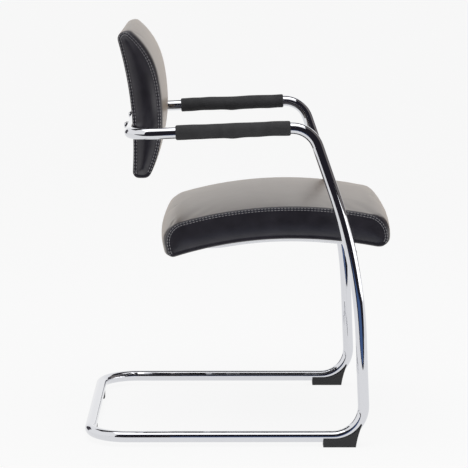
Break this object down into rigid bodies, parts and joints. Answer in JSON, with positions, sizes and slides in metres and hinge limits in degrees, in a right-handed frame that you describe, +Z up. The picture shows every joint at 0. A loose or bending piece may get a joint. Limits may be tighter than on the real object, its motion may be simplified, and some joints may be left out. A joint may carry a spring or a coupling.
{
  "type": "cantilever chair",
  "caption": "Chromed tubular cantilever armchair with an upholstered black leather seat and back, foam armpads and wedge glides.",
  "frame": {"origin": "on the floor, under the middle of the chair's width and depth", "axes": "+Z up, the sitter looks along -Y, +X is the sitter's left"},
  "size_m": [0.5586, 0.6021, 0.7991],
  "materials": {
    "chrome_tube": "mirror-bright chrome plating on drawn steel tube",
    "chrome_plate": "bright chrome plating",
    "plain_steel": "plain drawn steel, inside the tube",
    "zinc_plated_steel": "zinc plated",
    "beech_plywood": "moulded plywood, unfinished, covered",
    "black_nonwoven": "spun-bonded dust cover",
    "black_leather": "black leather over foam, satin",
    "black_foam": "matt self-skinned foam sleeve",
    "black_nylon": "moulded nylon, matt"
  },
  "bodies": {
    "root": {"right_frame_tube": "chrome_tube", "left_frame_tube": "chrome_tube", "base_joint_sleeve": "plain_steel", "back_joint_sleeve": "plain_steel", "seat_cross_tube": "chrome_tube", "seat_support_loop": "chrome_tube", "seat_mounting_plates": "chrome_plate", "seat_washers": "zinc_plated_steel", "seat_bolts": "zinc_plated_steel", "seat_tee_nuts": "zinc_plated_steel", "seat_base_board": "beech_plywood", "seat_dust_cover": "black_nonwoven", "seat_cushion": "black_leather", "back_inner_shell": "beech_plywood", "back_rear_panel": "black_leather", "back_cushion": "black_leather", "back_tee_nuts": "zinc_plated_steel", "back_saddle_washers": "chrome_plate", "back_bolts": "chrome_plate", "right_armpad": "black_foam", "left_armpad": "black_foam", "right_front_glide": "black_nylon", "left_front_glide": "black_nylon", "right_rear_glide": "black_nylon", "left_rear_glide": "black_nylon"}
  },
  "joints": []
}
